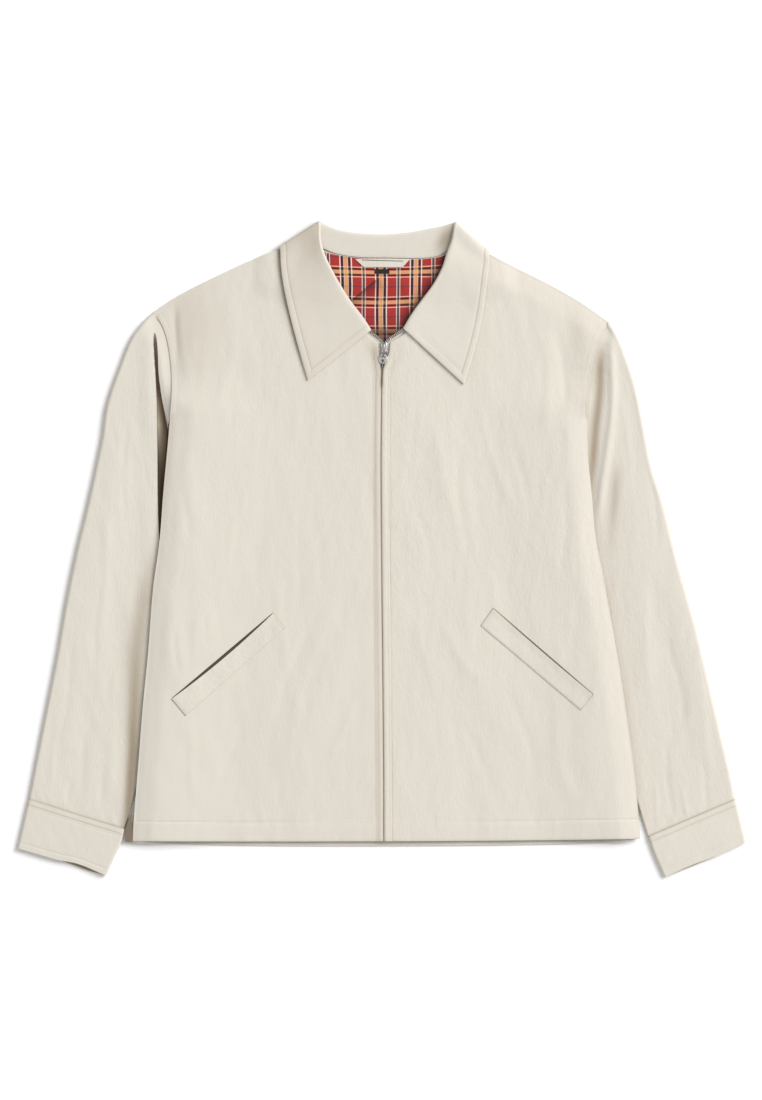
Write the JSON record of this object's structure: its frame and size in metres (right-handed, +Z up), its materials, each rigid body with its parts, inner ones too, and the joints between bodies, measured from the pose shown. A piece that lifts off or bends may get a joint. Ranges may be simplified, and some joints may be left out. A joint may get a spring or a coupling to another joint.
{
  "type": "zip-front coach jacket",
  "caption": "Light jacket laid flat, closed: pointed collar, zip front, slanted welt pockets, long cuffed sleeves, lining showing in the neck.",
  "frame": {"origin": "on the surface, below the middle of the jacket's outline", "axes": "+X to the right as seen from above, +Y from the hem to the collar, +Z up from the surface it lies on"},
  "size_m": [0.8375, 0.7545, 0.0138],
  "materials": {
    "shell": "light stone cotton twill, dry and slightly crinkled",
    "lining": "smooth red tartan lining with a light sheen",
    "tape": "woven zip tape",
    "label": "plain dark woven label with nothing on it",
    "metal": "nickel zip slider, pull and teeth"
  },
  "bodies": {
    "jacket": {"back": "shell", "front_left": "shell", "front_right": "shell", "sleeve_left": "shell", "sleeve_right": "shell", "cuff_left": "shell", "cuff_right": "shell", "collar": "shell", "welt_left": "shell", "welt_right": "shell", "hanger_loop": "shell", "lining_back": "lining", "neck_label": "label", "zip_tape_left": "tape", "zip_tape_right": "tape", "zip_slider": "metal"},
    "pull": {"zip_pull": "metal"}
  },
  "joints": [
    {"name": "pull_swing", "type": "hinge", "parent": "jacket", "child": "pull", "pos_m": [0.0029, 0.2322, 0.0079], "axis": [-1, 0, 0], "range_deg": [0, 150]}
  ]
}
